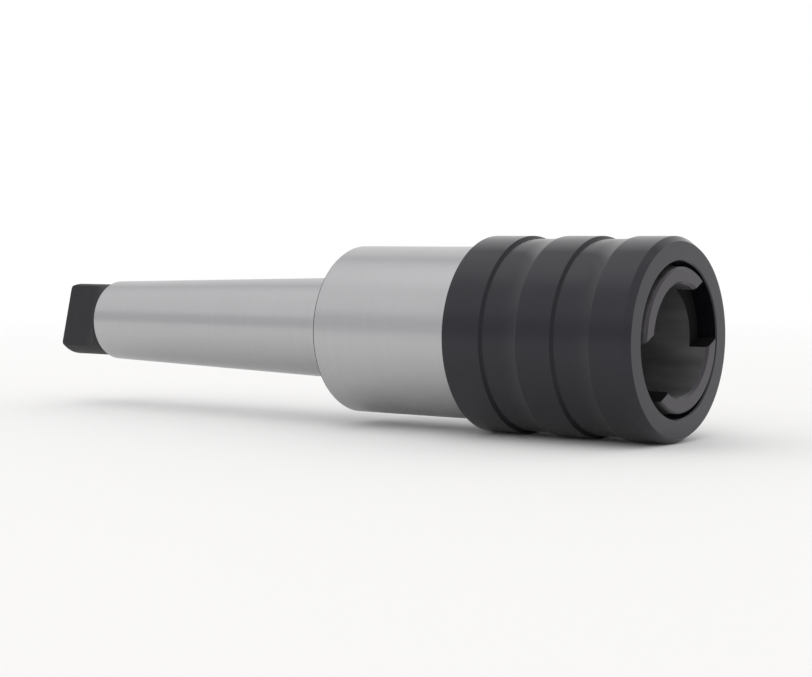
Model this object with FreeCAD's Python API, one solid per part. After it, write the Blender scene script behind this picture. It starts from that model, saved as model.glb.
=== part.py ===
import FreeCAD, Part
import math
import os

# Quick-change tapping chuck with length compensation on a Morse taper shank.
# Millimetres and degrees. +X runs along the axis towards the nose and +Z is up.
# The origin is the centre of the taper's gauge plane. Angles about the axis run
# from +Y towards +Z. x values grow towards the nose: "rear" is the tang's side.

Vec = FreeCAD.Vector
origin = Vec(0, 0, 0)
axis = Vec(1, 0, 0)

# Morse taper 4 shank with a tang
gauge_dia = 31.267
length_per_taper = 19.254
gauge_to_body = 6.5
gauge_to_tang_end = 117.5
tang_length = 19.9
tang_step = 1.1
tang_thickness = 11.9
tang_cutter_radius = 8.0
tang_flat_length = 11.0
tang_angle = 166.2
tang_end_rounding = 1.2
shank_edge = 0.4
relief_width = 1.0
relief_depth = 0.45
centre_drill_dia = 4.0
centre_cone_dia = 7.5
centre_drill_depth = 7.0

# Spindle with the nose that takes the tap adapters. The other diameters grow from
# its adapter bore by the walls of the spindle, the body and the sleeve.
nose_reach = 109.7
adapter_bore_dia = 31.0
adapter_bore_depth = 36.2
adapter_bore_chamfer = 0.75
spindle_wall = 4.7
nose_edge_chamfer = 0.5
slot_width = 18.2
slot_depth = 5.95
slot_angle = 26.3
spindle_engagement = 26.0
web_thickness = 6.0
cavity_step = 1.5
ball_relief_depth = 0.3
ball_relief_width = 6.8

# Ground body that the shank widens into
body_wall = 5.15
body_chamfer = 0.3
body_chamfer_length = 0.5
floor_thickness = 8.5

# Float of the spindle in the body, and stroke of the sleeve on the spindle
float_in = 6.0
float_out = 8.0
sleeve_stroke = 6.0

# Grip sleeve
sleeve_wall = 3.15
sleeve_length = 60.1
sleeve_setback = 0.7
sleeve_overlap = 13.6
sleeve_front_chamfer = 1.4
sleeve_front_chamfer_length = 1.9
sleeve_rear_edge = 0.3
sleeve_mouth_chamfer = 0.35
rear_land = 12.5
groove_pitch = 23.15
groove_length = 12.1
groove_depth = 0.85
groove_shoulder = 0.8
groove_count = 2
run_out_angle = 16.4
run_out_radius = 19.0
mouth_gap = 1.5
guide_land_length = 3.5
sleeve_front_wall = 3.35

# Balls that lock an adapter, and the ring that presses them in
ball_dia = 7.0
ball_count = 3
ball_reach = 1.8
ball_angle = -63.7
lock_ring_length = 14.6
recess_clearance = 0.15

# Balls that carry the torque from the body to the spindle
drive_ball_dia = 5.0
drive_ball_pitch = 5.3
drive_balls_per_track = 2
track_count = 3
track_spare = 0.3
stop_ring_thickness = 1.0
stop_ring_inset = 0.8

# Guide bolt, its head, washers and bush
bolt_dia = 12.0
bolt_thread_dia = 10.0
bolt_thread_length = 14.0
bolt_head_dia = 19.0
bolt_head_height = 7.0
bolt_socket_flats = 8.0
bolt_socket_depth = 4.0
bush_wall = 2.5
washer_thickness = 1.5
lock_washer_rim = 2.0
plug_thickness = 1.5
head_clearance = 0.5

# Springs: wire and turns
float_wire = 3.0
float_turns = 5.0
pull_wire = 1.8
pull_turns = 2.5
sleeve_wire = 1.4
sleeve_turns = 2.5

# Snap rings: thickness along the axis, bite into their groove and height
ring_thickness = 1.5
ring_bite = 1.0
ring_height = 2.3
ring_gap = 24.0
plug_ring_thickness = 1.2
wiper_width = 1.5
wiper_inset = 1.6

# Clearances
running_fit = 0.05
loose_fit = 0.3
travel_spare = 0.7
small_chamfer = 0.5
overcut = 1.0

# Radii that follow from the sizes above
adapter_r = adapter_bore_dia / 2
cavity_r = adapter_r - cavity_step
spindle_r = adapter_r + spindle_wall
housing_bore_r = spindle_r + running_fit
body_r = housing_bore_r + body_wall
sleeve_rear_bore_r = body_r + running_fit
sleeve_r = sleeve_rear_bore_r + sleeve_wall
groove_bottom_r = sleeve_r - groove_depth
sleeve_front_bore_r = groove_bottom_r - sleeve_front_wall
sleeve_guide_r = spindle_r + running_fit
mouth_r = spindle_r + mouth_gap
bolt_r = bolt_dia / 2
bush_bore_r = bolt_r + running_fit
bush_r = bolt_r + bush_wall
lock_washer_r = bolt_r + lock_washer_rim
ball_r = ball_dia / 2
ball_locked_r = adapter_r - ball_reach + ball_r
ball_released_r = adapter_r + running_fit + ball_r
retainer_inner_r = sleeve_front_bore_r + ring_bite - ring_height
drive_ball_r = drive_ball_dia / 2
track_r = drive_ball_r + running_fit
track_centre_r = (spindle_r + housing_bore_r) / 2

# Each spring's coil runs midway between what it surrounds and what surrounds it.
float_coil_r = (bush_r + spindle_r) / 2
pull_coil_r = (bolt_r + cavity_r) / 2
sleeve_coil_r = (spindle_r + retainer_inner_r) / 2

# Places along the axis, from the tang to the nose
tang_end_x = -gauge_to_tang_end
taper_end_x = tang_end_x + tang_length
body_rear_x = gauge_to_body
floor_x = body_rear_x + floor_thickness
nose_x = body_rear_x + nose_reach
sleeve_front_x = nose_x - sleeve_setback
sleeve_rear_x = sleeve_front_x - sleeve_length
body_front_x = sleeve_rear_x + sleeve_overlap
spindle_rear_x = body_front_x - spindle_engagement
web_front_x = spindle_rear_x + web_thickness

# The front stop ring sits just behind the drive slots, the sleeve's guide land
# behind it, and the locking ring behind the land.
slot_bottom_x = nose_x - slot_depth
stop_ring_front_x = slot_bottom_x - travel_spare
guide_front_x = stop_ring_front_x - ring_thickness
guide_rear_x = guide_front_x - guide_land_length
lock_ring_rear_x = guide_rear_x - lock_ring_length
retainer_rear_x = lock_ring_rear_x - ring_thickness
ball_x = guide_rear_x - sleeve_stroke - ball_r - running_fit

# The seat of the sleeve spring clears the body when the spindle is pushed in,
# and the sleeve's wide bore clears it with the sleeve drawn back as well.
seat_ring_x = body_front_x + float_in + travel_spare
seat_washer_x = seat_ring_x + ring_thickness
sleeve_spring_x = seat_washer_x + washer_thickness
sleeve_step_x = body_front_x + float_in + sleeve_stroke + travel_spare

# The guide bolt ends behind the plug by the inward float.
plug_front_x = nose_x - adapter_bore_depth
plug_rear_x = plug_front_x - plug_thickness
bolt_head_front_x = plug_rear_x - float_in - head_clearance
bolt_head_rear_x = bolt_head_front_x - bolt_head_height
head_washer_x = bolt_head_rear_x - washer_thickness

# Drive balls roll half as far as the spindle floats.
first_drive_ball_x = spindle_rear_x + float_out / 2 + drive_ball_pitch
last_drive_ball_x = first_drive_ball_x + (drive_balls_per_track - 1) * drive_ball_pitch
track_ring_front_x = body_front_x - stop_ring_inset
track_ring_rear_x = track_ring_front_x - stop_ring_thickness
track_ring_r = housing_bore_r + running_fit


def taper_radius(x):
    return (gauge_dia + x / length_per_taper) / 2


def outline_edges(corners):
    """Closed outline in the XY plane: corners (x, r) or (x, r, rounding)."""
    starts = []
    ends = []
    arcs = []
    count = len(corners)
    for i in range(count):
        corner = Vec(corners[i][0], corners[i][1], 0)
        rounding = corners[i][2] if len(corners[i]) > 2 else 0.0
        if rounding == 0.0:
            starts.append(corner)
            ends.append(corner)
            arcs.append(None)
            continue
        before = Vec(corners[i - 1][0], corners[i - 1][1], 0)
        after = Vec(corners[(i + 1) % count][0], corners[(i + 1) % count][1], 0)
        way_in = (corner - before).normalize()
        way_out = (after - corner).normalize()
        half_turn = way_in.getAngle(way_out) / 2
        back = rounding * math.tan(half_turn)
        inward = (way_out - way_in).normalize()
        middle = corner + inward * (rounding / math.cos(half_turn) - rounding)
        starts.append(corner - way_in * back)
        ends.append(corner + way_out * back)
        arcs.append(middle)
    edges = []
    for i in range(count):
        if arcs[i] is not None:
            edges.append(Part.Arc(starts[i], arcs[i], ends[i]).toShape())
        edges.append(Part.LineSegment(ends[i], starts[(i + 1) % count]).toShape())
    return edges


def revolved(corners):
    """Solid of revolution about the axis."""
    face = Part.Face(Part.Wire(outline_edges(corners)))
    return face.revolve(origin, axis, 360)


def tube(x0, x1, inner_r, outer_r):
    return revolved([(x0, inner_r), (x1, inner_r), (x1, outer_r), (x0, outer_r)])


def rod(x0, x1, radius):
    return Part.makeCylinder(radius, x1 - x0, Vec(x0, 0, 0), axis)


def turned(shape, angle):
    """Copy of a shape, turned about the axis."""
    copy = shape.copy()
    copy.rotate(origin, axis, angle)
    return copy


def around(shape, count, start_angle):
    """Copies of a shape, evenly spaced about the axis."""
    return [turned(shape, start_angle + i * 360 / count) for i in range(count)]


def snap_ring(x0, x1, inner_r, outer_r, angle):
    """Flat spring ring with a gap, and square ends beside the gap."""
    ring = tube(x0, x1, inner_r, outer_r)
    gap_width = 2 * inner_r * math.sin(math.radians(ring_gap / 2))
    gap = Part.makeBox(x1 - x0, outer_r, gap_width, Vec(x0, 0, -gap_width / 2))
    return ring.cut(turned(gap, angle))


def coil_spring(rear_seat_x, front_seat_x, coil_r, wire, turns):
    """Open-ended compression spring of square wire, between two seats."""
    length = front_seat_x - rear_seat_x - wire
    pitch = length / turns
    path = Part.Wire(Part.makeHelix(pitch, length, coil_r))
    heading = Vec(0, 2 * math.pi * coil_r, pitch)
    across = Vec(1, 0, 0)
    along = across.cross(heading).normalize()
    half = wire / 2
    corners = [Vec(coil_r, 0, 0) + across * (half * a) + along * (half * b)
               for a, b in [(-1, -1), (1, -1), (1, 1), (-1, 1), (-1, -1)]]
    coil = path.makePipeShell([Part.makePolygon(corners)], True, True)
    coil.rotate(origin, Vec(0, 1, 0), 90)
    coil.translate(Vec(rear_seat_x + wire / 2, 0, 0))
    return coil


def hexagon(x0, x1, flats):
    """Six-sided prism along the axis."""
    corner_r = flats / math.sqrt(3)
    corners = [Vec(x0, corner_r * math.cos(a), corner_r * math.sin(a))
               for a in [math.radians(60 * i) for i in range(7)]]
    return Part.Face(Part.makePolygon(corners)).extrude(Vec(x1 - x0, 0, 0))


def drive_track(x0, x1):
    """Round-bottomed track at +Y."""
    return Part.makeCylinder(track_r, x1 - x0, Vec(x0, track_centre_r, 0), axis)


def tang_flat():
    """What a round cutter takes off one side of the tang, at +Y."""
    flat_end_x = tang_end_x + tang_flat_length
    reach = gauge_dia
    half = tang_thickness / 2
    slab = Part.makeBox(flat_end_x - tang_end_x + overcut, reach, 2 * reach,
                        Vec(tang_end_x - overcut, half, -reach))
    cutter = Part.makeCylinder(tang_cutter_radius, 2 * reach,
                               Vec(flat_end_x, half + tang_cutter_radius, -reach), Vec(0, 0, 1))
    behind_taper = Part.makeBox(tang_length + overcut, 2 * reach, 2 * reach,
                                Vec(tang_end_x - overcut, half, -reach))
    return slab.fuse(cutter).common(behind_taper)


def shank_housing():
    """Shank, tang and ground body in one piece of steel."""
    tang_r = taper_radius(taper_end_x) - tang_step
    body = revolved([
        (tang_end_x, 0),
        (tang_end_x, tang_r, tang_end_rounding),
        (taper_end_x, tang_r),
        (taper_end_x, taper_radius(taper_end_x) - shank_edge),
        (taper_end_x + shank_edge, taper_radius(taper_end_x + shank_edge)),
        (body_rear_x - relief_width, taper_radius(body_rear_x - relief_width)),
        (body_rear_x - relief_width / 2, taper_radius(body_rear_x) - relief_depth),
        (body_rear_x, taper_radius(body_rear_x) - relief_depth),
        (body_rear_x, body_r - body_chamfer),
        (body_rear_x + body_chamfer_length, body_r),
        (body_front_x - small_chamfer, body_r),
        (body_front_x, body_r - small_chamfer),
        (body_front_x, housing_bore_r + small_chamfer),
        (body_front_x - small_chamfer, housing_bore_r),
        (floor_x, housing_bore_r),
        (floor_x, 0),
    ])
    thread_r = bolt_thread_dia / 2 + running_fit
    cuts = [rod(floor_x - bolt_thread_length - overcut, floor_x + overcut, thread_r)]
    cuts += around(tang_flat(), 2, tang_angle)
    cuts.append(tube(track_ring_rear_x, track_ring_front_x, housing_bore_r - overcut,
                     track_ring_r + ring_bite))
    track_rear_x = first_drive_ball_x - drive_ball_r - float_in / 2 - track_spare
    track = drive_track(track_rear_x, body_front_x + overcut)
    cuts += around(track, track_count, slot_angle)
    cone_length = (centre_cone_dia - centre_drill_dia) / 2 / math.tan(math.radians(30))
    cuts.append(rod(tang_end_x - overcut, tang_end_x + centre_drill_depth, centre_drill_dia / 2))
    cuts.append(Part.makeCone(centre_cone_dia / 2, centre_drill_dia / 2, cone_length,
                              Vec(tang_end_x, 0, 0), axis))
    for cut in cuts:
        body = body.cut(cut)
    return body


def nose_spindle():
    """Hollow spindle: bush seat and web at the rear, adapter bore in the nose."""
    body = revolved([
        (spindle_rear_x, bush_r),
        (spindle_rear_x, spindle_r - small_chamfer),
        (spindle_rear_x + small_chamfer, spindle_r),
        (nose_x - nose_edge_chamfer, spindle_r),
        (nose_x, spindle_r - nose_edge_chamfer),
        (nose_x, adapter_r + adapter_bore_chamfer),
        (nose_x - adapter_bore_chamfer, adapter_r),
        (plug_rear_x, adapter_r),
        (plug_rear_x, cavity_r),
        (web_front_x, cavity_r),
        (web_front_x, bush_r),
    ])
    cuts = [
        tube(seat_ring_x, seat_washer_x, spindle_r - ring_bite, spindle_r + overcut),
        tube(guide_front_x, stop_ring_front_x, spindle_r - ring_bite, spindle_r + overcut),
        tube(plug_front_x, plug_front_x + plug_ring_thickness, adapter_r - overcut,
             adapter_r + ring_bite),
        tube(ball_x - ball_relief_width / 2, ball_x + ball_relief_width / 2, adapter_r - overcut,
             adapter_r + ball_relief_depth),
    ]
    slot = Part.makeBox(slot_depth + overcut, 2 * sleeve_r, slot_width,
                        Vec(slot_bottom_x, -sleeve_r, -slot_width / 2))
    cuts.append(turned(slot, slot_angle))
    hole_r = ball_r + running_fit
    hole = Part.makeCylinder(hole_r, ball_r + spindle_r, Vec(ball_x, ball_locked_r, 0), Vec(0, 1, 0))
    hole = hole.fuse(Part.makeSphere(hole_r, Vec(ball_x, ball_locked_r, 0)))
    cuts += around(hole, ball_count, ball_angle)
    track_front_x = last_drive_ball_x + drive_ball_r + float_in / 2 + track_spare
    track = drive_track(spindle_rear_x - overcut, track_front_x)
    cuts += around(track, track_count, slot_angle)
    for cut in cuts:
        body = body.cut(cut)
    return body


def release_sleeve():
    """Grip sleeve, turned from one bar. Its grooves run out forwards in a hollow curve."""
    run_out = groove_depth / math.tan(math.radians(run_out_angle))
    outside = [
        (sleeve_rear_x, sleeve_r - sleeve_rear_edge),
        (sleeve_rear_x + sleeve_rear_edge, sleeve_r),
    ]
    for i in range(groove_count):
        shoulder_x = sleeve_rear_x + rear_land + i * groove_pitch
        crest_x = shoulder_x + groove_length
        outside += [
            (shoulder_x, sleeve_r),
            (shoulder_x + groove_shoulder, groove_bottom_r),
            (crest_x - run_out, groove_bottom_r, run_out_radius),
            (crest_x, sleeve_r),
        ]
    outside += [
        (sleeve_front_x - sleeve_front_chamfer_length, sleeve_r),
        (sleeve_front_x, sleeve_r - sleeve_front_chamfer),
    ]
    inside = [
        (sleeve_front_x, mouth_r + sleeve_mouth_chamfer),
        (sleeve_front_x - sleeve_mouth_chamfer, mouth_r),
        (guide_front_x, mouth_r),
        (guide_front_x, sleeve_guide_r),
        (guide_rear_x, sleeve_guide_r),
        (guide_rear_x, sleeve_front_bore_r),
        (sleeve_step_x, sleeve_front_bore_r),
        (sleeve_step_x, sleeve_rear_bore_r),
        (sleeve_rear_x + small_chamfer, sleeve_rear_bore_r),
        (sleeve_rear_x, sleeve_rear_bore_r + small_chamfer),
    ]
    body = revolved(outside + inside)
    body = body.cut(tube(retainer_rear_x, lock_ring_rear_x,
                         sleeve_front_bore_r - overcut, sleeve_front_bore_r + ring_bite))
    wiper_x = sleeve_rear_x + wiper_inset
    return body.cut(tube(wiper_x, wiper_x + wiper_width, sleeve_rear_bore_r - overcut,
                         sleeve_rear_bore_r + wiper_width))


def lock_ring():
    """Hardened ring whose inner cone lets the balls out when it is drawn back."""
    slope = (ball_released_r - ball_locked_r) / sleeve_stroke
    lean = math.atan(slope)
    cone_r_at_ball = ball_locked_r + ball_r / math.cos(lean) + running_fit
    narrow_r = sleeve_guide_r + running_fit
    recess_r = ball_released_r + ball_r + recess_clearance
    cone_rear_x = ball_x + (narrow_r - cone_r_at_ball) / slope
    cone_front_x = ball_x + (recess_r - cone_r_at_ball) / slope
    return revolved([
        (lock_ring_rear_x, narrow_r),
        (cone_rear_x, narrow_r),
        (cone_front_x, recess_r),
        (guide_rear_x, recess_r),
        (guide_rear_x, sleeve_front_bore_r),
        (lock_ring_rear_x, sleeve_front_bore_r),
    ])


def guide_bolt():
    """Shoulder bolt with a socket head, which holds the spindle in the body."""
    thread_r = bolt_thread_dia / 2
    shoulder_x = floor_x + washer_thickness
    body = rod(floor_x - bolt_thread_length, shoulder_x, thread_r)
    body = body.fuse(rod(shoulder_x, bolt_head_rear_x, bolt_r))
    head = revolved([
        (bolt_head_rear_x, 0),
        (bolt_head_rear_x, bolt_head_dia / 2),
        (bolt_head_front_x - small_chamfer, bolt_head_dia / 2),
        (bolt_head_front_x, bolt_head_dia / 2 - small_chamfer),
        (bolt_head_front_x, 0),
    ])
    socket = hexagon(bolt_head_front_x - bolt_socket_depth, bolt_head_front_x + overcut,
                     bolt_socket_flats)
    return body.fuse(head).removeSplitter().cut(socket)


def bolt_lock_washer():
    """Split washer that the bolt's shoulder presses on the floor of the body."""
    return snap_ring(floor_x, floor_x + washer_thickness, bolt_thread_dia / 2 + loose_fit,
                     lock_washer_r, slot_angle)


def float_spring_seat():
    """Hardened washer under the float spring."""
    return tube(floor_x, floor_x + washer_thickness, lock_washer_r + loose_fit,
                housing_bore_r - loose_fit)


def bolt_head_washer():
    """Thick washer under the bolt's head, which the pull-back spring bears on."""
    return tube(head_washer_x, bolt_head_rear_x, bolt_r + running_fit, cavity_r - loose_fit)


def spindle_bush():
    """Bronze bush in the spindle's web, running on the guide bolt."""
    return tube(spindle_rear_x, web_front_x, bush_bore_r, bush_r)


def cavity_plug():
    """Disc that keeps chips out of the spring cavity."""
    return rod(plug_rear_x, plug_front_x, adapter_r - running_fit)


def cavity_plug_ring():
    """Snap ring that holds the plug in the adapter bore."""
    return snap_ring(plug_front_x, plug_front_x + plug_ring_thickness,
                     adapter_r + ring_bite - ring_height, adapter_r + ring_bite, slot_angle)


def track_stop_ring():
    """Inner snap ring at the front of the body, which keeps the drive balls in."""
    return snap_ring(track_ring_rear_x, track_ring_front_x, track_ring_r, track_ring_r + ring_bite,
                     slot_angle + 60)


def sleeve_spring_seat():
    """Washer that the sleeve spring bears on, behind it a snap ring."""
    return tube(seat_washer_x, sleeve_spring_x, spindle_r + running_fit,
                sleeve_front_bore_r - loose_fit)


def spring_seat_ring():
    """Snap ring that carries the spring seat on the spindle."""
    return snap_ring(seat_ring_x, seat_washer_x, spindle_r - ring_bite,
                     spindle_r - ring_bite + ring_height, slot_angle + 60)


def sleeve_stop_ring():
    """Snap ring behind the nose slots, which stops the sleeve going forward."""
    return snap_ring(guide_front_x, stop_ring_front_x, spindle_r - ring_bite,
                     spindle_r - ring_bite + ring_height, slot_angle + 90)


def lock_ring_retainer():
    """Inner snap ring that holds the locking ring in the sleeve."""
    return snap_ring(retainer_rear_x, lock_ring_rear_x, retainer_inner_r,
                     sleeve_front_bore_r + ring_bite, slot_angle)


def sleeve_wiper():
    """Felt ring in the rear of the sleeve, which wipes the body."""
    wiper_x = sleeve_rear_x + wiper_inset
    return tube(wiper_x, wiper_x + wiper_width, sleeve_rear_bore_r, sleeve_rear_bore_r + wiper_width)


def drive_balls():
    """Rows of balls, half in the body's tracks and half in the spindle's."""
    balls = []
    for i in range(drive_balls_per_track):
        x = first_drive_ball_x + i * drive_ball_pitch
        balls += around(Part.makeSphere(drive_ball_r, Vec(x, track_centre_r, 0)), track_count, slot_angle)
    return Part.makeCompound(balls)


pieces = {
    "shank_housing": shank_housing(),
    "guide_bolt": guide_bolt(),
    "bolt_lock_washer": bolt_lock_washer(),
    "bolt_head_washer": bolt_head_washer(),
    "float_spring_seat": float_spring_seat(),
    "track_stop_ring": track_stop_ring(),
    "drive_balls": drive_balls(),
    "nose_spindle": nose_spindle(),
    "spindle_bush": spindle_bush(),
    "cavity_plug": cavity_plug(),
    "cavity_plug_ring": cavity_plug_ring(),
    "spring_seat_ring": spring_seat_ring(),
    "sleeve_spring_seat": sleeve_spring_seat(),
    "sleeve_stop_ring": sleeve_stop_ring(),
    "release_sleeve": release_sleeve(),
    "lock_ring": lock_ring(),
    "lock_ring_retainer": lock_ring_retainer(),
    "sleeve_wiper": sleeve_wiper(),
    "float_spring": coil_spring(floor_x + washer_thickness, spindle_rear_x,
                                float_coil_r, float_wire, float_turns),
    "pull_back_spring": coil_spring(web_front_x, head_washer_x,
                                    pull_coil_r, pull_wire, pull_turns),
    "sleeve_spring": coil_spring(sleeve_spring_x, lock_ring_rear_x,
                                 sleeve_coil_r, sleeve_wire, sleeve_turns),
}
locking_ball = Part.makeSphere(ball_r, Vec(ball_x, ball_locked_r, 0))
for number, ball in enumerate(around(locking_ball, ball_count, ball_angle), 1):
    pieces["locking_ball_%d" % number] = ball

os.makedirs("parts", exist_ok=True)
for name, shape in pieces.items():
    shape.exportStep("parts/" + name + ".step")
    print(name, len(shape.Solids), shape.isValid(), round(shape.Volume, 1))
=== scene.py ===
import bpy
from mathutils import Matrix, Vector


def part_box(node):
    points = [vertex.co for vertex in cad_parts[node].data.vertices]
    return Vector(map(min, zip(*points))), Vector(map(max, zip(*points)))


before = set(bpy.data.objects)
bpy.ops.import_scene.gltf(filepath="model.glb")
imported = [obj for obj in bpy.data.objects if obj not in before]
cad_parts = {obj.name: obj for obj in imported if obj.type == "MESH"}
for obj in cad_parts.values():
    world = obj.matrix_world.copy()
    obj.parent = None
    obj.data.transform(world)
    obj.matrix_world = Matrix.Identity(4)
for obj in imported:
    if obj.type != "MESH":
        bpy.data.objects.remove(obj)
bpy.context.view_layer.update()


# Studio. The chuck lies on white paper in front of a white backdrop. The camera stands to
# the right of the nose, a little above the axis, half a metre away.
nose_side_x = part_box("release_sleeve")[1].x
camera_place = Vector((nose_side_x + 0.2491, -0.4681, 0.0291))
camera_ahead = Vector((-0.5893, 0.8061, -0.0544))
camera_up = Vector((-0.0321, 0.0440, 0.9985))
focal_length = 85.0


def linear(hex_colour):
    """Linear colour from an sRGB hex value."""
    channels = [int(hex_colour[i:i + 2], 16) / 255 for i in (1, 3, 5)]
    return tuple(c / 12.92 if c <= 0.04045 else ((c + 0.055) / 1.055) ** 2.4
                 for c in channels) + (1.0,)


def add_node(tree, kind, inputs=None, output=None, **settings):
    """Adds a shader node and returns an output of it, the first one unless it is named.
    Each input is a plain value or an output of another node."""
    node = tree.nodes.new("ShaderNode" + kind)
    for name, value in settings.items():
        setattr(node, name, value)
    for name, value in (inputs or {}).items():
        if isinstance(value, bpy.types.NodeSocket):
            tree.links.new(value, node.inputs[name])
        else:
            node.inputs[name].default_value = value
    if output:
        return node.outputs[output]
    return next((socket for socket in node.outputs if socket.enabled), None)


def new_material(name):
    """An empty material and its node tree."""
    material = bpy.data.materials.new(name)
    material.use_nodes = True
    material.node_tree.nodes.clear()
    return material, material.node_tree


def look_from(place, ahead, up):
    """Matrix of a camera or lamp that stands at place and looks ahead."""
    right = ahead.cross(up).normalized()
    true_up = right.cross(ahead).normalized()
    turn = Matrix((right, true_up, -ahead.normalized())).transposed()
    return Matrix.Translation(place) @ turn.to_4x4()


camera_data = bpy.data.cameras.new("camera")
camera_data.lens = focal_length
camera_data.sensor_width = 36.0
camera_data.sensor_fit = "HORIZONTAL"
camera_data.clip_start = 0.01
camera = bpy.data.objects.new("camera", camera_data)
camera.matrix_world = look_from(camera_place, camera_ahead, camera_up)
bpy.context.scene.collection.objects.link(camera)
bpy.context.scene.camera = camera
bpy.context.scene.view_settings.view_transform = "Standard"

# The room's brightness by direction: a white backdrop behind the chuck, a white ceiling,
# and a pale, slightly blue wall on the camera's side. A dim seam between the ceiling's
# panels runs along the chuck, 25 degrees off the vertical towards the backdrop.
wall_brightness = 0.8
seam_brightness = 0.72
square_to_seam = (0.0, -0.905, 0.425)
world = bpy.data.worlds.new("room")
bpy.context.scene.world = world
world.use_nodes = True
sky = world.node_tree
sky.nodes.clear()
heading = add_node(sky, "TexCoord", output="Generated")
height = add_node(sky, "VectorMath", {0: heading, 1: (0.0, 0.0, 1.0)}, "Value",
                  operation="DOT_PRODUCT")
to_back = add_node(sky, "SeparateXYZ", {"Vector": heading}, "Y")
off_seam = add_node(sky, "VectorMath", {0: heading, 1: square_to_seam}, "Value",
                    operation="DOT_PRODUCT")
off_seam = add_node(sky, "Math", {0: off_seam}, operation="ABSOLUTE")
backdrop = add_node(sky, "MapRange",
                    {"Value": to_back, "From Min": -0.4, "From Max": 0.4,
                     "To Min": wall_brightness, "To Max": 1.0},
                    interpolation_type="SMOOTHSTEP")
ceiling = add_node(sky, "MapRange",
                   {"Value": height, "From Min": -0.05, "From Max": 0.4,
                    "To Min": 0.0, "To Max": 1.0},
                   interpolation_type="SMOOTHSTEP")
brightness = add_node(sky, "Math", {0: backdrop, 1: ceiling}, operation="MAXIMUM")
seam = add_node(sky, "MapRange",
                {"Value": off_seam, "From Min": 0.03, "From Max": 0.12,
                 "To Min": seam_brightness, "To Max": 1.0},
                interpolation_type="SMOOTHSTEP")
below_ceiling = add_node(sky, "MapRange",
                         {"Value": height, "From Min": 0.1, "From Max": 0.3,
                          "To Min": 1.0, "To Max": 0.0},
                         interpolation_type="SMOOTHSTEP")
seam = add_node(sky, "Math", {0: seam, 1: below_ceiling}, operation="MAXIMUM")
brightness = add_node(sky, "Math", {0: brightness, 1: seam}, operation="MULTIPLY")
room_white = add_node(sky, "Mix", {"Factor": brightness, "A": linear("#DEDCEC"),
                                   "B": linear("#FFFFFF")}, data_type="RGBA")
room = add_node(sky, "Background", {"Color": room_white, "Strength": brightness})
add_node(sky, "OutputWorld", {"Surface": room})

# One round soft box, almost straight above the chuck.
lamp_data = bpy.data.lights.new("soft_box", "AREA")
lamp_data.shape = "DISK"
lamp_data.size = 0.8
lamp_data.energy = 0.45
lamp = bpy.data.objects.new("soft_box", lamp_data)
lamp_place = Vector((-0.15, -0.20, 0.95))
lamp.matrix_world = look_from(lamp_place, -lamp_place, Vector((0.0, 1.0, 0.0)))
bpy.context.scene.collection.objects.link(lamp)

# The paper is lit like any paper near the chuck, so it keeps the shadow. Far behind the
# chuck the camera and all reflections see it as white as the backdrop. Its fibres are
# drawn as clouds 2 mm wide.
mm = 0.001
paper_size = 8.0
lit_as_far_as = 0.1
white_from = 0.8
sleeve_low_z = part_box("release_sleeve")[0].z
reach = paper_size / 2
paper_mesh = bpy.data.meshes.new("paper_floor")
paper_mesh.from_pydata([(-reach, -reach, sleeve_low_z), (reach, -reach, sleeve_low_z),
                        (reach, reach, sleeve_low_z), (-reach, reach, sleeve_low_z)],
                       [], [(0, 1, 2, 3)])
paper_floor = bpy.data.objects.new("paper_floor", paper_mesh)
bpy.context.scene.collection.objects.link(paper_floor)
paper, tree = new_material("white_matt_paper")
place = add_node(tree, "TexCoord", output="Object")
fibres = add_node(tree, "TexNoise", {"Vector": place, "Scale": 1.0 / (2.0 * mm), "Detail": 2.0})
paper_white = add_node(tree, "Mix", {"Factor": fibres, "A": linear("#FAF9F8"),
                                     "B": linear("#FCFBFA")}, data_type="RGBA")
paper_shader = add_node(tree, "BsdfPrincipled", {"Base Color": paper_white, "Roughness": 0.8,
                                                 "Specular IOR Level": 0.2})
to_backdrop = Vector((camera_ahead.x, camera_ahead.y, 0.0)).normalized()
behind = add_node(tree, "VectorMath", {0: place, 1: to_backdrop}, "Value",
                  operation="DOT_PRODUCT")
far_behind = add_node(tree, "MapRange", {"Value": behind, "From Min": lit_as_far_as,
                                         "From Max": white_from},
                      interpolation_type="SMOOTHSTEP")
seen = 0.0
for rays in ("Is Camera Ray", "Is Glossy Ray", "Is Transmission Ray"):
    by_these = add_node(tree, "LightPath", output=rays)
    seen = add_node(tree, "Math", {0: seen, 1: by_these}, operation="MAXIMUM")
far_behind = add_node(tree, "Math", {0: far_behind, 1: seen}, operation="MULTIPLY")
backdrop_white = add_node(tree, "Emission", {"Color": linear("#FFFFFF"), "Strength": 1.0})
paper_surface = add_node(tree, "MixShader", {0: far_behind, 1: paper_shader, 2: backdrop_white})
add_node(tree, "OutputMaterial", {"Surface": paper_surface})
paper_mesh.materials.append(paper)


# Shank and body, one piece of case-hardened steel, ground between centres on the taper
# and the body. The tang keeps the black scale of the hardening furnace. The undercut
# between taper and body and the chamfer beside it are painted brown-black, a painted
# shade where the body's edge meets the taper.
tang_length = 19.9 * mm
tang_shoulder_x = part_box("shank_housing")[0].x + tang_length
gauge_to_body = 6.5 * mm
undercut_length = 1.0 * mm
undercut_radius = 15.8 * mm
body_radius = 25.4 * mm
rear_chamfer = 0.5 * mm
tolerance = 0.01 * mm


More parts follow.
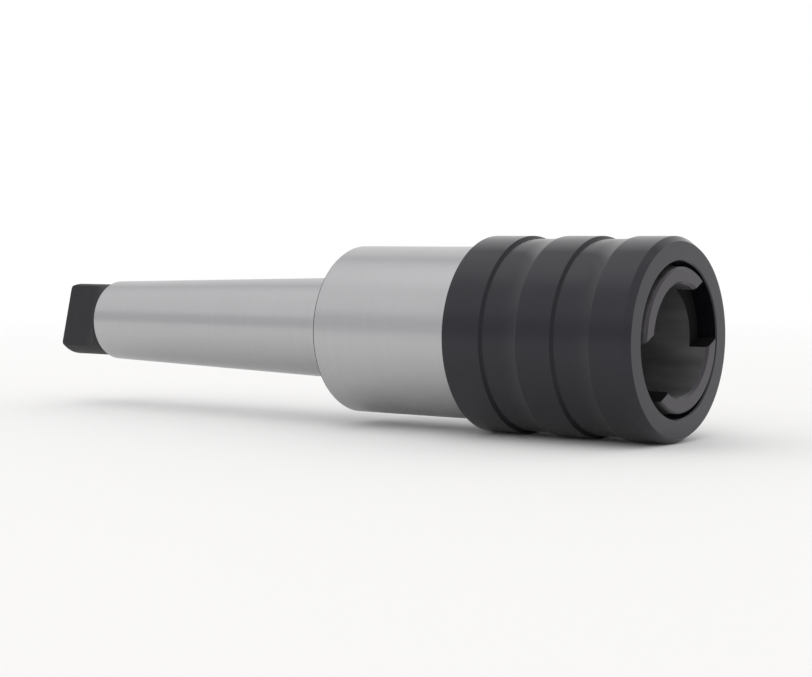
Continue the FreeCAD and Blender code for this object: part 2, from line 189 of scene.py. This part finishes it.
def turned_marks(tree, spacing, stretch=60.0):
    """Rings that turning or grinding leaves: noise that changes along the axis on a
    cylinder and outwards on an end face, and slowly around the axis. The rings of a face
    lie closer than those of a cylinder, so that the two don't run on at the edge."""
    outwards_to_along = 1.37
    place = add_node(tree, "TexCoord", output="Object")
    across = add_node(tree, "VectorMath", {0: place, 1: (0.0, 1.0, 1.0)}, operation="MULTIPLY")
    radius = add_node(tree, "VectorMath", {0: across}, "Value", operation="LENGTH")
    along = add_node(tree, "SeparateXYZ", {"Vector": place}, "X")
    along = add_node(tree, "Math", {0: radius, 1: outwards_to_along, 2: along},
                     operation="MULTIPLY_ADD")
    along = add_node(tree, "Math", {0: along, 1: stretch}, operation="MULTIPLY")
    across_y = add_node(tree, "SeparateXYZ", {"Vector": place}, "Y")
    across_z = add_node(tree, "SeparateXYZ", {"Vector": place}, "Z")
    drawn_out = add_node(tree, "CombineXYZ", {"X": along, "Y": across_y, "Z": across_z})
    return add_node(tree, "TexNoise", {"Vector": drawn_out, "Scale": 1.0 / (spacing * stretch),
                                       "Detail": 3.0, "Roughness": 0.6})


# Bright ground steel: the rings draw reflections out along the axis. They are about
# 0.05 mm apart on the real shank and are drawn at 0.6 mm, so that they just show. Wear
# clouds the shine in patches 18 mm wide.
ground_steel, tree = new_material("ground_steel")
rings = turned_marks(tree, 0.6 * mm)
place = add_node(tree, "TexCoord", output="Object")
cloud = add_node(tree, "TexNoise", {"Vector": place, "Scale": 1.0 / (18 * mm), "Detail": 2.0})
tone = add_node(tree, "Mix", {"Factor": rings, "A": linear("#B1B1B2"), "B": linear("#B9B9BB")},
                data_type="RGBA")
rough = add_node(tree, "MapRange", {"Value": cloud, "To Min": 0.24, "To Max": 0.36})
relief = add_node(tree, "Bump", {"Height": rings, "Strength": 0.03, "Distance": 0.02 * mm})
round_axis = add_node(tree, "Tangent", direction_type="RADIAL", axis="X")
shader = add_node(tree, "BsdfPrincipled",
                  {"Base Color": tone, "Metallic": 1.0, "Roughness": rough, "Normal": relief,
                   "Anisotropic": 0.7, "Anisotropic Rotation": 0.25, "Tangent": round_axis})
add_node(tree, "OutputMaterial", {"Surface": shader})

# Furnace scale: matt blue-black, with mottles 3 mm wide and a grain of 0.4 mm.
furnace_scale, tree = new_material("black_furnace_scale")
place = add_node(tree, "TexCoord", output="Object")
mottle = add_node(tree, "TexNoise", {"Vector": place, "Scale": 1.0 / (3 * mm), "Detail": 4.0})
grain = add_node(tree, "TexNoise", {"Vector": place, "Scale": 1.0 / (0.4 * mm), "Detail": 2.0})
tone = add_node(tree, "Mix", {"Factor": mottle, "A": linear("#131316"), "B": linear("#1F1E23")},
                data_type="RGBA")
rough = add_node(tree, "MapRange", {"Value": mottle, "To Min": 0.55, "To Max": 0.8})
relief = add_node(tree, "Bump", {"Height": grain, "Strength": 0.15, "Distance": 0.03 * mm})
shader = add_node(tree, "BsdfPrincipled",
                  {"Base Color": tone, "IOR": 1.5, "Roughness": rough, "Normal": relief})
add_node(tree, "OutputMaterial", {"Surface": shader})

# Painted shade for the undercut and the rear chamfer: brown-black with a dull shine, in blots 1.5
# mm wide.
undercut_shade, tree = new_material("painted_shade_in_the_undercut")
place = add_node(tree, "TexCoord", output="Object")
dregs = add_node(tree, "TexNoise", {"Vector": place, "Scale": 1.0 / (1.5 * mm), "Detail": 3.0})
tone = add_node(tree, "Mix", {"Factor": dregs, "A": linear("#1C1A18"), "B": linear("#302D2A")},
                data_type="RGBA")
shader = add_node(tree, "BsdfPrincipled", {"Base Color": tone, "IOR": 1.47, "Roughness": 0.5})
add_node(tree, "OutputMaterial", {"Surface": shader})


def off_axis(face):
    """How far a face is from the chuck's axis, and how straight it looks away from the
    axis: 1 on the outside of a cylinder, -1 in a bore, 0 on an end face."""
    outwards = Vector((0.0, face.center.y, face.center.z))
    return outwards.length, face.normal.dot(outwards.normalized())


def dress_by_face(name, materials, pick):
    """Gives a CAD piece several materials: pick returns the one of each face."""
    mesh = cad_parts[name].data
    mesh.materials.clear()
    for material in materials:
        mesh.materials.append(material)
    for face in mesh.polygons:
        face.material_index = materials.index(pick(face))


def shank_finish(face):
    """Scale on the tang, painted shade in the undercut and on the chamfer, else ground steel."""
    radius, facing = off_axis(face)
    x = face.center.x
    in_undercut = (gauge_to_body - undercut_length - tolerance < x < gauge_to_body + tolerance
                   and radius < undercut_radius)
    leans_back = face.normal.x < -0.3
    on_chamfer = (leans_back and radius > body_radius - rear_chamfer - tolerance
                  and gauge_to_body < x < gauge_to_body + rear_chamfer + tolerance)
    if x < tang_shoulder_x + tolerance:
        return furnace_scale
    # The undercut and the rear chamfer get the dark painted shade.
    if in_undercut or on_chamfer:
        return undercut_shade
    return ground_steel


dress_by_face("shank_housing", [ground_steel, furnace_scale, undercut_shade], shank_finish)


# Grip sleeve, turned from bar and blackened in a hot oxide bath, then oiled. The crests
# of its two grooves are painted a little lighter in patches, part hand wear and part a
# painted highlight, and their steep shoulders get less shine, a painted shade.
sleeve_rear_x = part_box("release_sleeve")[0].x
first_shoulder = 12.5 * mm
shoulder_length = 0.8 * mm
groove_pitch = 23.15 * mm
groove_length = 12.1 * mm
crest_light_width = 0.35 * mm


def ring_band(tree, along, middle, full, end):
    """A soft band around the axis: 1 within full of its middle, fading to 0 at end."""
    away = add_node(tree, "Math", {0: along, 1: middle}, operation="SUBTRACT")
    away = add_node(tree, "Math", {0: away}, operation="ABSOLUTE")
    return add_node(tree, "MapRange", {"Value": away, "From Min": full, "From Max": end,
                                       "To Min": 1.0, "To Max": 0.0},
                    interpolation_type="SMOOTHSTEP")


# Black oxide over turned steel: a dark skin with an oily gloss, slightly blue, clouded
# in patches 12 mm wide. The turning marks are 0.15 mm apart and are drawn at 0.5 mm, so
# that they show. The crests are painted lighter in patches, part rubbing and part painted
# highlight, and the shoulders get less shine and more roughness, a painted shade.
# How much lighter the crests are painted, and the shine and roughness of the shoulders' painted
# shade.
most_crest_lightening = 0.25
oiled_level = 0.5
shoulder_shade_shine = 0.36
shoulder_shade_roughness = 0.4
black_oxide, tree = new_material("oiled_black_oxide")
rings = turned_marks(tree, 0.5 * mm, 120.0)
place = add_node(tree, "TexCoord", output="Object")
cloud = add_node(tree, "TexNoise", {"Vector": place, "Scale": 1.0 / (12 * mm), "Detail": 3.0})
tone = add_node(tree, "Mix", {"Factor": cloud, "A": linear("#0A0A0D"), "B": linear("#121216")},
                data_type="RGBA")
along = add_node(tree, "SeparateXYZ", {"Vector": place}, "X")
shoulder_shade = 0.0
crest_rub_and_highlight = 0.0
for groove in range(2):
    shoulder_x = sleeve_rear_x + first_shoulder + groove * groove_pitch
    # Each shoulder gets a band of painted shade.
    on_shoulder = ring_band(tree, along, shoulder_x + shoulder_length / 2,
                            shoulder_length * 0.4, shoulder_length * 0.7)
    shoulder_shade = add_node(tree, "Math", {0: shoulder_shade, 1: on_shoulder}, operation="MAXIMUM")
    # Each crest gets a band painted lighter, part wear and part highlight.
    on_crest = ring_band(tree, along, shoulder_x + groove_length, 0.0, crest_light_width)
    crest_rub_and_highlight = add_node(tree, "Math", {0: crest_rub_and_highlight, 1: on_crest}, operation="MAXIMUM")
patchy = add_node(tree, "TexNoise", {"Vector": place, "Scale": 1.0 / (9 * mm), "Detail": 3.0})
patchy = add_node(tree, "MapRange", {"Value": patchy, "From Min": 0.45, "From Max": 0.75,
                                     "To Min": 0.0, "To Max": most_crest_lightening})
crest_rub_and_highlight = add_node(tree, "Math", {0: crest_rub_and_highlight, 1: patchy}, operation="MULTIPLY")
# Lighter grey painted on the crests: part rubbing, part painted highlight.
tone = add_node(tree, "Mix", {"Factor": crest_rub_and_highlight, "A": tone, "B": linear("#5A5A5E")},
                data_type="RGBA")
gloss = add_node(tree, "MapRange", {"Value": cloud, "To Min": 0.16, "To Max": 0.30})
# The shoulders get more roughness and less shine, a painted shade.
rough = add_node(tree, "Mix", {"Factor": shoulder_shade, "A": gloss, "B": shoulder_shade_roughness})
shine = add_node(tree, "Mix", {"Factor": shoulder_shade, "A": oiled_level, "B": shoulder_shade_shine})
relief = add_node(tree, "Bump", {"Height": rings, "Strength": 0.04, "Distance": 0.02 * mm})
shader = add_node(tree, "BsdfPrincipled",
                  {"Base Color": tone, "IOR": 1.51, "Roughness": rough, "Normal": relief,
                   "Specular IOR Level": shine, "Specular Tint": linear("#F4F3FF")})
add_node(tree, "OutputMaterial", {"Surface": shader})


def dress(material, *names):
    """Gives CAD pieces a material."""
    for name in names:
        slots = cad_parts[name].data.materials
        slots.clear()
        slots.append(material)


dress(black_oxide, "release_sleeve")


# Floating spindle, hardened steel, blackened and then ground where it runs: in the
# adapter bore and on its outside. Its nose face is rubbed by adapters, and the walls and
# floor of the milled slots are painted matt and nearly black, a painted shade.
spindle_radius = 20.2 * mm
bore_radius = 15.5 * mm
bore_relief = 0.3 * mm
bore_past_plug = 2 * mm
slot_floor_gap = 0.7 * mm
facet_depth = 0.05 * mm
straight_out = 0.9
aslant = 0.65
nose_face_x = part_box("nose_spindle")[1].x
bore_floor_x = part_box("cavity_plug")[1].x
slot_floor_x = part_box("sleeve_stop_ring")[1].x + slot_floor_gap

# Worn oxide: grey-violet, clouded in patches 5 mm wide, with the turning marks of the
# face just showing.
worn_oxide, tree = new_material("worn_black_oxide")
rings = turned_marks(tree, 0.5 * mm, 80.0)
place = add_node(tree, "TexCoord", output="Object")
cloud = add_node(tree, "TexNoise", {"Vector": place, "Scale": 1.0 / (5 * mm), "Detail": 4.0})
tone = add_node(tree, "Mix", {"Factor": cloud, "A": linear("#1C1A1F"), "B": linear("#27242A")},
                data_type="RGBA")
rough = add_node(tree, "MapRange", {"Value": cloud, "To Min": 0.22, "To Max": 0.42})
relief = add_node(tree, "Bump", {"Height": rings, "Strength": 0.08, "Distance": 0.02 * mm})
shader = add_node(tree, "BsdfPrincipled",
                  {"Base Color": tone, "IOR": 1.55, "Roughness": rough, "Normal": relief,
                   "Specular Tint": linear("#FBF5FF")})
add_node(tree, "OutputMaterial", {"Surface": shader})

# Bare ground steel under a film of oil, with streaks along the bore where adapters
# slide in, 4 mm wide. The grinding rings are drawn at 0.5 mm.
bore_steel, tree = new_material("oiled_ground_steel")
rings = turned_marks(tree, 0.5 * mm, 80.0)
place = add_node(tree, "TexCoord", output="Object")
streaks = add_node(tree, "Mapping", {"Vector": place, "Scale": (0.15, 1.0, 1.0)})
streaks = add_node(tree, "TexNoise", {"Vector": streaks, "Scale": 1.0 / (4 * mm), "Detail": 3.0})
tone = add_node(tree, "Mix", {"Factor": streaks, "A": linear("#868485"), "B": linear("#B3B1B2")},
                data_type="RGBA")
rough = add_node(tree, "MapRange", {"Value": streaks, "To Min": 0.30, "To Max": 0.48})
relief = add_node(tree, "Bump", {"Height": rings, "Strength": 0.05, "Distance": 0.02 * mm})
round_axis = add_node(tree, "Tangent", direction_type="RADIAL", axis="X")
shader = add_node(tree, "BsdfPrincipled",
                  {"Base Color": tone, "Metallic": 1.0, "Roughness": rough, "Normal": relief,
                   "Anisotropic": 0.7, "Anisotropic Rotation": 0.25, "Tangent": round_axis})
add_node(tree, "OutputMaterial", {"Surface": shader})

# Painted shade for the slots: oxide made matt and nearly black. The cutter's marks are drawn at
# 0.6 mm.
slot_shade_oxide, tree = new_material("slot_shade_black_oxide")
place = add_node(tree, "TexCoord", output="Object")
cutter = add_node(tree, "TexNoise", {"Vector": place, "Scale": 1.0 / (0.6 * mm), "Detail": 3.0})
tone = add_node(tree, "Mix", {"Factor": cutter, "A": linear("#09090A"), "B": linear("#131214")},
                data_type="RGBA")
relief = add_node(tree, "Bump", {"Height": cutter, "Strength": 0.2, "Distance": 0.02 * mm})
shader = add_node(tree, "BsdfPrincipled", {"Base Color": tone, "Roughness": 0.8,
                                           "Specular IOR Level": 0.12, "Normal": relief})
add_node(tree, "OutputMaterial", {"Surface": shader})


def spindle_finish(face):
    """Ground steel on the outside and in the bore, the painted shade of near-black oxide on
    the walls and floor of the slots, and worn oxide on the faces and the broken edges."""
    radius, facing = off_axis(face)
    x = face.center.x
    on_outside = facing > straight_out and radius > spindle_radius - facet_depth
    in_bore = (facing < -straight_out and radius < bore_radius + bore_relief + facet_depth
               and x > bore_floor_x - bore_past_plug)
    in_slot = slot_floor_x - tolerance < x < nose_face_x - tolerance and abs(facing) < aslant
    on_edge = 0.2 < face.normal.x < 0.8
    if on_outside or in_bore:
        return bore_steel
    # The slots' walls and floor get the near-black painted shade.
    if in_slot and not on_edge:
        return slot_shade_oxide
    return worn_oxide


dress_by_face("nose_spindle", [worn_oxide, bore_steel, slot_shade_oxide], spindle_finish)


# Locking balls and drive balls, bearing steel, hardened, lapped and polished. The haze is
# the fine wear of rolling under oil, in patches 1.2 mm wide.
bearing_steel, tree = new_material("lapped_bearing_steel")
place = add_node(tree, "TexCoord", output="Object")
haze = add_node(tree, "TexNoise", {"Vector": place, "Scale": 1.0 / (1.2 * mm), "Detail": 4.0})
tone = add_node(tree, "Mix", {"Factor": haze, "A": linear("#C2C2C6"), "B": linear("#D3D3D5")},
                data_type="RGBA")
rough = add_node(tree, "MapRange", {"Value": haze, "To Min": 0.08, "To Max": 0.2})
shader = add_node(tree, "BsdfPrincipled", {"Base Color": tone, "Metallic": 1.0,
                                           "Roughness": rough})
add_node(tree, "OutputMaterial", {"Surface": shader})
dress(bearing_steel, "locking_ball_1", "locking_ball_2", "locking_ball_3", "drive_balls")


# Lock ring, hardened tool steel with a ground cone inside. It is tempered straw
# yellow-brown, in patches 7 mm wide. The grinding rings are drawn at 0.3 mm.
tempered_steel, tree = new_material("tempered_ground_steel")
rings = turned_marks(tree, 0.3 * mm, 40.0)
place = add_node(tree, "TexCoord", output="Object")
straw = add_node(tree, "TexNoise", {"Vector": place, "Scale": 1.0 / (7 * mm), "Detail": 2.0})
tone = add_node(tree, "Mix", {"Factor": straw, "A": linear("#A39A8B"), "B": linear("#ADA9A3")},
                data_type="RGBA")
rough = add_node(tree, "MapRange", {"Value": rings, "To Min": 0.22, "To Max": 0.34})
relief = add_node(tree, "Bump", {"Height": rings, "Strength": 0.08, "Distance": 0.02 * mm})
shader = add_node(tree, "BsdfPrincipled", {"Base Color": tone, "Metallic": 1.0,
                                           "Roughness": rough, "Normal": relief})
add_node(tree, "OutputMaterial", {"Surface": shader})
dress(tempered_steel, "lock_ring")


# Snap rings and the split washer, stamped from spring strip and phosphated: matt
# grey-black crystals, oiled. They are drawn at 0.3 mm, far coarser than real ones.
phosphate, tree = new_material("phosphated_spring_strip")
place = add_node(tree, "TexCoord", output="Object")
crystals = add_node(tree, "TexNoise", {"Vector": place, "Scale": 1.0 / (0.3 * mm), "Detail": 3.0})
tone = add_node(tree, "Mix", {"Factor": crystals, "A": linear("#111113"), "B": linear("#1C1C1F")},
                data_type="RGBA")
relief = add_node(tree, "Bump", {"Height": crystals, "Strength": 0.2, "Distance": 0.02 * mm})
shader = add_node(tree, "BsdfPrincipled", {"Base Color": tone, "Roughness": 0.62,
                                           "Specular IOR Level": 0.3, "Normal": relief})
add_node(tree, "OutputMaterial", {"Surface": shader})
dress(phosphate, "lock_ring_retainer", "sleeve_stop_ring", "spring_seat_ring", "cavity_plug_ring",
      "track_stop_ring", "bolt_lock_washer")


# Three compression springs, wound from oil-tempered square wire and shot-peened. The
# dimples are 0.3 mm wide, and the temper colour changes over 5 mm.
spring_wire, tree = new_material("peened_spring_wire")
place = add_node(tree, "TexCoord", output="Object")
dimples = add_node(tree, "TexVoronoi", {"Vector": place, "Scale": 1.0 / (0.3 * mm)}, "Distance")
temper = add_node(tree, "TexNoise", {"Vector": place, "Scale": 1.0 / (5 * mm), "Detail": 3.0})
tone = add_node(tree, "Mix", {"Factor": temper, "A": linear("#4A4846"), "B": linear("#625F5C")},
                data_type="RGBA")
rough = add_node(tree, "MapRange", {"Value": dimples, "To Min": 0.35, "To Max": 0.5})
relief = add_node(tree, "Bump", {"Height": dimples, "Strength": 0.25, "Distance": 0.02 * mm})
shader = add_node(tree, "BsdfPrincipled", {"Base Color": tone, "Metallic": 1.0,
                                           "Roughness": rough, "Normal": relief})
add_node(tree, "OutputMaterial", {"Surface": shader})
dress(spring_wire, "float_spring", "pull_back_spring", "sleeve_spring")


# Thick washers under the bolt's head and the springs, hardened and surface ground:
# straight scratches cross their faces, 0.2 mm apart.
washer_steel, tree = new_material("surface_ground_washer_steel")
place = add_node(tree, "TexCoord", output="Object")
scratches = add_node(tree, "Mapping", {"Vector": place, "Scale": (1.0, 1.0, 0.02)})
scratches = add_node(tree, "TexNoise", {"Vector": scratches, "Scale": 1.0 / (0.2 * mm),
                                        "Detail": 2.0})
tone = add_node(tree, "Mix", {"Factor": scratches, "A": linear("#9D9C9B"),
                              "B": linear("#B1B0AE")}, data_type="RGBA")
relief = add_node(tree, "Bump", {"Height": scratches, "Strength": 0.1, "Distance": 0.01 * mm})
shader = add_node(tree, "BsdfPrincipled", {"Base Color": tone, "Metallic": 1.0,
                                           "Roughness": 0.3, "Normal": relief})
add_node(tree, "OutputMaterial", {"Surface": shader})
dress(washer_steel, "bolt_head_washer", "float_spring_seat", "sleeve_spring_seat")


# Guide bolt, a high-strength shoulder bolt, blackened all over and ground on the shoulder,
# where the bush runs. The turned plug that closes the spring cavity is blackened too. The
# turning marks are drawn at 0.3 mm.
bolt_shoulder_radius = 6.0 * mm
black_steel, tree = new_material("black_bolt_steel")
rings = turned_marks(tree, 0.3 * mm, 40.0)
tone = add_node(tree, "Mix", {"Factor": rings, "A": linear("#242529"), "B": linear("#35363A")},
                data_type="RGBA")
rough = add_node(tree, "MapRange", {"Value": rings, "To Min": 0.38, "To Max": 0.5})
relief = add_node(tree, "Bump", {"Height": rings, "Strength": 0.1, "Distance": 0.02 * mm})
shader = add_node(tree, "BsdfPrincipled", {"Base Color": tone, "IOR": 1.55, "Roughness": rough,
                                           "Normal": relief})
add_node(tree, "OutputMaterial", {"Surface": shader})


def bolt_finish(face):
    """Ground steel on the shoulder, and black steel elsewhere."""
    radius, facing = off_axis(face)
    on_shoulder = (abs(radius - bolt_shoulder_radius) < 2 * facet_depth
                   and facing > straight_out)
    return ground_steel if on_shoulder else black_steel


dress_by_face("guide_bolt", [black_steel, ground_steel], bolt_finish)
dress(black_steel, "cavity_plug")


# Bush, tin bronze, pressed into the spindle's web and reamed: fine rings, drawn at
# 0.25 mm, and a warm tarnish in patches 4 mm wide.
tin_bronze, tree = new_material("reamed_tin_bronze")
rings = turned_marks(tree, 0.25 * mm, 40.0)
place = add_node(tree, "TexCoord", output="Object")
tarnish = add_node(tree, "TexNoise", {"Vector": place, "Scale": 1.0 / (4 * mm), "Detail": 3.0})
tone = add_node(tree, "Mix", {"Factor": tarnish, "A": linear("#A07A45"), "B": linear("#C9A16A")},
                data_type="RGBA")
rough = add_node(tree, "MapRange", {"Value": rings, "To Min": 0.26, "To Max": 0.38})
relief = add_node(tree, "Bump", {"Height": rings, "Strength": 0.1, "Distance": 0.02 * mm})
shader = add_node(tree, "BsdfPrincipled", {"Base Color": tone, "Metallic": 1.0,
                                           "Roughness": rough, "Normal": relief})
add_node(tree, "OutputMaterial", {"Surface": shader})
dress(tin_bronze, "spindle_bush")


# Wiper, pressed wool felt in a groove at the sleeve's rear, soaked in oil. Its fibres are
# drawn at 0.25 mm, ten times as thick as wool.
felt, tree = new_material("oiled_wool_felt")
place = add_node(tree, "TexCoord", output="Object")
fibres = add_node(tree, "TexNoise", {"Vector": place, "Scale": 1.0 / (0.25 * mm), "Detail": 5.0})
tone = add_node(tree, "Mix", {"Factor": fibres, "A": linear("#6E6A60"), "B": linear("#8C877A")},
                data_type="RGBA")
relief = add_node(tree, "Bump", {"Height": fibres, "Strength": 0.5, "Distance": 0.1 * mm})
shader = add_node(tree, "BsdfPrincipled", {"Base Color": tone, "Roughness": 0.95,
                                           "Normal": relief})
add_node(tree, "OutputMaterial", {"Surface": shader})
dress(felt, "sleeve_wiper")
